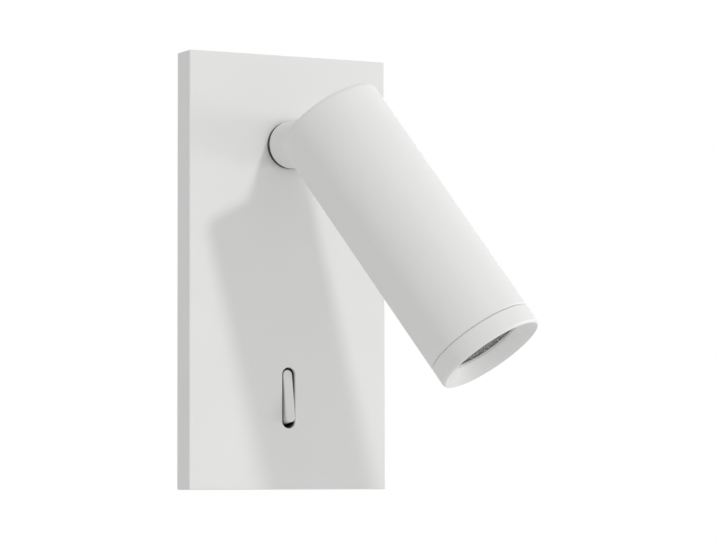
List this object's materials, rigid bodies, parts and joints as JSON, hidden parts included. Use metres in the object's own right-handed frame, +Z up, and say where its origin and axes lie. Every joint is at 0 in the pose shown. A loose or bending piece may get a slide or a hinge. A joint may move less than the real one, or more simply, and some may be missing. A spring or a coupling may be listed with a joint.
{
  "type": "bedside wall reading lamp",
  "caption": "White recessed wall reading lamp: upright plate with a rocker switch, a short neck that turns, and a cylindrical spot head that tilts.",
  "frame": {"origin": "centre of the plate's back face, on the wall plane", "axes": "+X to the right seen from the room, +Y into the wall, +Z up; the plate's front faces -Y"},
  "size_m": [0.0899, 0.1396, 0.15],
  "materials": {
    "white_powder_coat": "fine satin white powder coat on aluminium",
    "white_gloss_plastic": "smooth glossy moulded plastic",
    "zinc_plated_steel": "bright zinc plate",
    "black_rubber": "soft matt rubber",
    "natural_nylon": "natural off-white nylon",
    "brass": "plain brass",
    "white_case_plastic": "matt moulded case plastic",
    "green_board": "solder mask",
    "dark_ferrite": "dark ferrite and tape",
    "capacitor_sleeve": "shrink sleeve",
    "black_plastic": "matt black moulded plastic",
    "spring_steel": "plain spring steel",
    "bare_aluminium": "turned aluminium",
    "thermal_pad_grey": "grey thermal pad",
    "white_board": "white solder mask on an aluminium board",
    "led_phosphor": "yellow phosphor under silicone",
    "clear_lens": "clear moulded lens with a pebbled face",
    "wire_brown": "wire insulation",
    "wire_green": "wire insulation",
    "wire_white": "wire insulation"
  },
  "bodies": {
    "root": {"front_plate": "white_powder_coat", "recess_box": "zinc_plated_steel", "plate_grub_screws": "zinc_plated_steel", "cable_grommet": "black_rubber", "terminal_block": "natural_nylon", "terminal_clamps": "brass", "terminal_screws": "zinc_plated_steel", "terminal_block_screws": "zinc_plated_steel", "earth_screw": "brass", "earth_washer": "zinc_plated_steel", "driver_base": "white_case_plastic", "driver_lid": "white_case_plastic", "driver_board": "green_board", "driver_transformer": "dark_ferrite", "driver_capacitors": "capacitor_sleeve", "driver_screws": "zinc_plated_steel", "switch_housing": "black_plastic", "switch_terminals": "brass", "switch_screws": "zinc_plated_steel", "switch_pin": "zinc_plated_steel", "swivel_front_washer": "black_plastic", "supply_leads": "wire_brown", "earth_lead": "wire_green", "switch_leads": "wire_brown", "output_lead": "wire_white"},
    "neck": {"neck_arm": "white_powder_coat", "swivel_rear_washer": "natural_nylon", "swivel_spring_washer": "spring_steel", "swivel_stop_washer": "zinc_plated_steel", "swivel_lock_nut": "zinc_plated_steel", "neck_lead": "wire_white", "pivot_screws": "zinc_plated_steel", "pivot_spring_washers": "spring_steel"},
    "head": {"head_shell": "white_powder_coat", "pivot_block": "bare_aluminium", "pivot_friction_washers": "natural_nylon", "block_screws": "zinc_plated_steel", "shell_grub_screw": "zinc_plated_steel", "heat_sink": "bare_aluminium", "thermal_pad": "thermal_pad_grey", "led_board": "white_board", "led_chip": "led_phosphor", "board_screws": "zinc_plated_steel", "lens_holder": "black_plastic", "lens": "clear_lens", "lens_gasket": "black_rubber", "front_bezel": "white_powder_coat", "head_lead": "wire_white", "pivot_lead": "wire_white"},
    "rocker": {"switch_rocker": "white_gloss_plastic", "switch_plunger": "natural_nylon", "plunger_spring": "spring_steel"},
    "contact": {"contact_seesaw": "brass"}
  },
  "joints": [
    {"name": "neck_swivel", "type": "hinge", "parent": "root", "child": "neck", "pos_m": [0, -0.01, 0.0437], "axis": [0, -1, 0], "range_deg": [-185.3, 134.7]},
    {"name": "head_tilt", "type": "hinge", "parent": "neck", "child": "head", "pos_m": [0, -0.0493, 0.0437], "axis": [0.9041, 0, 0.4274], "range_deg": [-64.4, 25.6], "deforming": ["pivot_lead"]},
    {"name": "rocker_tip", "type": "hinge", "parent": "root", "child": "rocker", "pos_m": [0, -0.0058, -0.0435], "axis": [1, 0, 0], "range_deg": [0, 17.6]},
    {"name": "contact_tip", "type": "hinge", "parent": "root", "child": "contact", "pos_m": [0, 0.004, -0.0435], "axis": [1, 0, 0], "range_deg": [-12.32, 0]}
  ],
  "couplings": [
    {"joint": "contact_tip", "follows": "rocker_tip", "ratio": -0.7}
  ]
}
